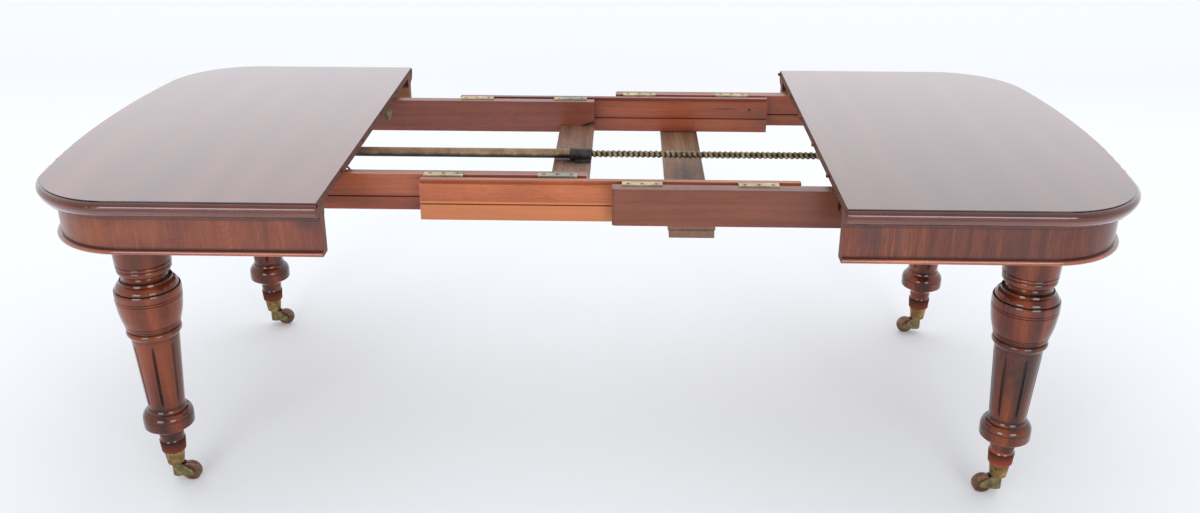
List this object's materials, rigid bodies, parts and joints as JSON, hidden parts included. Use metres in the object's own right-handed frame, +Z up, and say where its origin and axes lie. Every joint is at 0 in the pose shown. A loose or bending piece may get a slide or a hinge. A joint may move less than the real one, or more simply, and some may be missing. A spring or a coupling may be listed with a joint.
{
  "type": "extending dining table",
  "caption": "Wind-out dining table with rounded ends, telescopic slides, lead screw in a guard tube, turned fluted legs and brass castors; open with its leaf gap empty.",
  "frame": {"origin": "on the floor, under the middle of the table's plan as it stands wound fully out", "axes": "+X along the table, towards the end that carries the screw, +Y from the seen side to the back, +Z up"},
  "size_m": [2.342, 1.074, 0.74],
  "materials": {
    "top_mahogany": "french polished, glossy, dark red brown",
    "edge_mahogany": "french polished moulding, dark red brown",
    "facing_veneer": "polished figured veneer, red brown",
    "apron_core": "plain sawn softwood, unpolished",
    "bead_mahogany": "polished bead, orange brown",
    "slide_hardwood": "planed and waxed, purplish brown",
    "middle_hardwood": "planed and waxed, orange brown",
    "cross_board_hardwood": "old planed board, greyish brown",
    "tongue_beech": "planed strip, dull",
    "leg_mahogany": "turned and french polished, red brown",
    "dowel_beech": "stained peg, dull",
    "keeper_brass": "old brass, dull with green tarnish",
    "castor_brass": "dark lacquered old brass, worn",
    "nut_iron": "black iron, greasy",
    "screw_steel": "old steel, brown with dry grease",
    "tube_iron": "rusty brown iron tube with grease"
  },
  "bodies": {
    "left_end": {"left_top": "top_mahogany", "left_lipping": "edge_mahogany", "left_apron_front": "apron_core", "left_apron_back": "apron_core", "left_apron_end": "apron_core", "left_apron_facing": "facing_veneer", "left_bead": "bead_mahogany", "left_leg_blocks": "apron_core", "left_front_leg": "leg_mahogany", "left_back_leg": "leg_mahogany", "left_front_castor_cup": "castor_brass", "left_back_castor_cup": "castor_brass", "inner_slide_front": "slide_hardwood", "inner_slide_back": "slide_hardwood", "inner_keeper_plates": "keeper_brass", "nut_board": "cross_board_hardwood", "screw_nut": "nut_iron", "guard_tube": "tube_iron", "left_bearer": "apron_core", "leaf_clip": "keeper_brass", "edge_hook": "nut_iron"},
    "right_end": {"right_top": "top_mahogany", "right_lipping": "edge_mahogany", "right_apron_front": "apron_core", "right_apron_back": "apron_core", "right_apron_end": "apron_core", "right_apron_facing": "facing_veneer", "right_bead": "bead_mahogany", "right_leg_blocks": "apron_core", "right_front_leg": "leg_mahogany", "right_back_leg": "leg_mahogany", "right_front_castor_cup": "castor_brass", "right_back_castor_cup": "castor_brass", "outer_slide_front": "slide_hardwood", "outer_slide_back": "slide_hardwood", "outer_keeper_plates": "keeper_brass", "lower_board": "cross_board_hardwood", "lower_board_packers": "cross_board_hardwood", "right_bearer": "apron_core", "thrust_bearing": "nut_iron", "leaf_dowels": "dowel_beech"},
    "front_middle_slide": {"middle_slide_front": "middle_hardwood", "slide_tongues_front": "tongue_beech"},
    "back_middle_slide": {"middle_slide_back": "middle_hardwood", "slide_tongues_back": "tongue_beech"},
    "winding_screw": {"lead_screw": "screw_steel", "screw_collar": "screw_steel"},
    "left_front_horn": {"left_front_castor_horn": "castor_brass"},
    "left_front_wheel": {"left_front_castor_wheel": "castor_brass"},
    "left_back_horn": {"left_back_castor_horn": "castor_brass"},
    "left_back_wheel": {"left_back_castor_wheel": "castor_brass"},
    "right_front_horn": {"right_front_castor_horn": "castor_brass"},
    "right_front_wheel": {"right_front_castor_wheel": "castor_brass"},
    "right_back_horn": {"right_back_castor_horn": "castor_brass"},
    "right_back_wheel": {"right_back_castor_wheel": "castor_brass"}
  },
  "joints": [
    {"name": "wind_in", "type": "slide", "parent": "left_end", "child": "right_end", "axis": [1, 0, 0], "range_m": [-1.034, 0]},
    {"name": "front_middle_run", "type": "slide", "parent": "left_end", "child": "front_middle_slide", "axis": [1, 0, 0], "range_m": [-0.517, 0]},
    {"name": "back_middle_run", "type": "slide", "parent": "left_end", "child": "back_middle_slide", "axis": [1, 0, 0], "range_m": [-0.517, 0]},
    {"name": "screw_turn", "type": "hinge", "parent": "right_end", "child": "winding_screw", "pos_m": [1, 0, 0.669], "axis": [1, 0, 0], "range_deg": [-29311, 0]},
    {"name": "left_front_swivel", "type": "hinge", "parent": "left_end", "child": "left_front_horn", "pos_m": [-0.9395, -0.391, 0.05], "axis": [0, 0, 1], "continuous": true},
    {"name": "left_front_roll", "type": "hinge", "parent": "left_front_horn", "child": "left_front_wheel", "pos_m": [-0.9065, -0.391, 0.023], "axis": [0, 1, 0], "continuous": true},
    {"name": "left_back_swivel", "type": "hinge", "parent": "left_end", "child": "left_back_horn", "pos_m": [-0.9395, 0.391, 0.05], "axis": [0, 0, 1], "continuous": true},
    {"name": "left_back_roll", "type": "hinge", "parent": "left_back_horn", "child": "left_back_wheel", "pos_m": [-0.9065, 0.391, 0.023], "axis": [0, 1, 0], "continuous": true},
    {"name": "right_front_swivel", "type": "hinge", "parent": "right_end", "child": "right_front_horn", "pos_m": [0.9395, -0.391, 0.05], "axis": [0, 0, 1], "continuous": true},
    {"name": "right_front_roll", "type": "hinge", "parent": "right_front_horn", "child": "right_front_wheel", "pos_m": [0.9065, -0.391, 0.023], "axis": [0, 1, 0], "continuous": true},
    {"name": "right_back_swivel", "type": "hinge", "parent": "right_end", "child": "right_back_horn", "pos_m": [0.9395, 0.391, 0.05], "axis": [0, 0, 1], "continuous": true},
    {"name": "right_back_roll", "type": "hinge", "parent": "right_back_horn", "child": "right_back_wheel", "pos_m": [0.9065, 0.391, 0.023], "axis": [0, 1, 0], "continuous": true}
  ],
  "couplings": [
    {"joint": "front_middle_run", "follows": "wind_in", "ratio": 0.5},
    {"joint": "back_middle_run", "follows": "wind_in", "ratio": 0.5},
    {"joint": "screw_turn", "follows": "wind_in", "rad_per_m": 494.74}
  ]
}
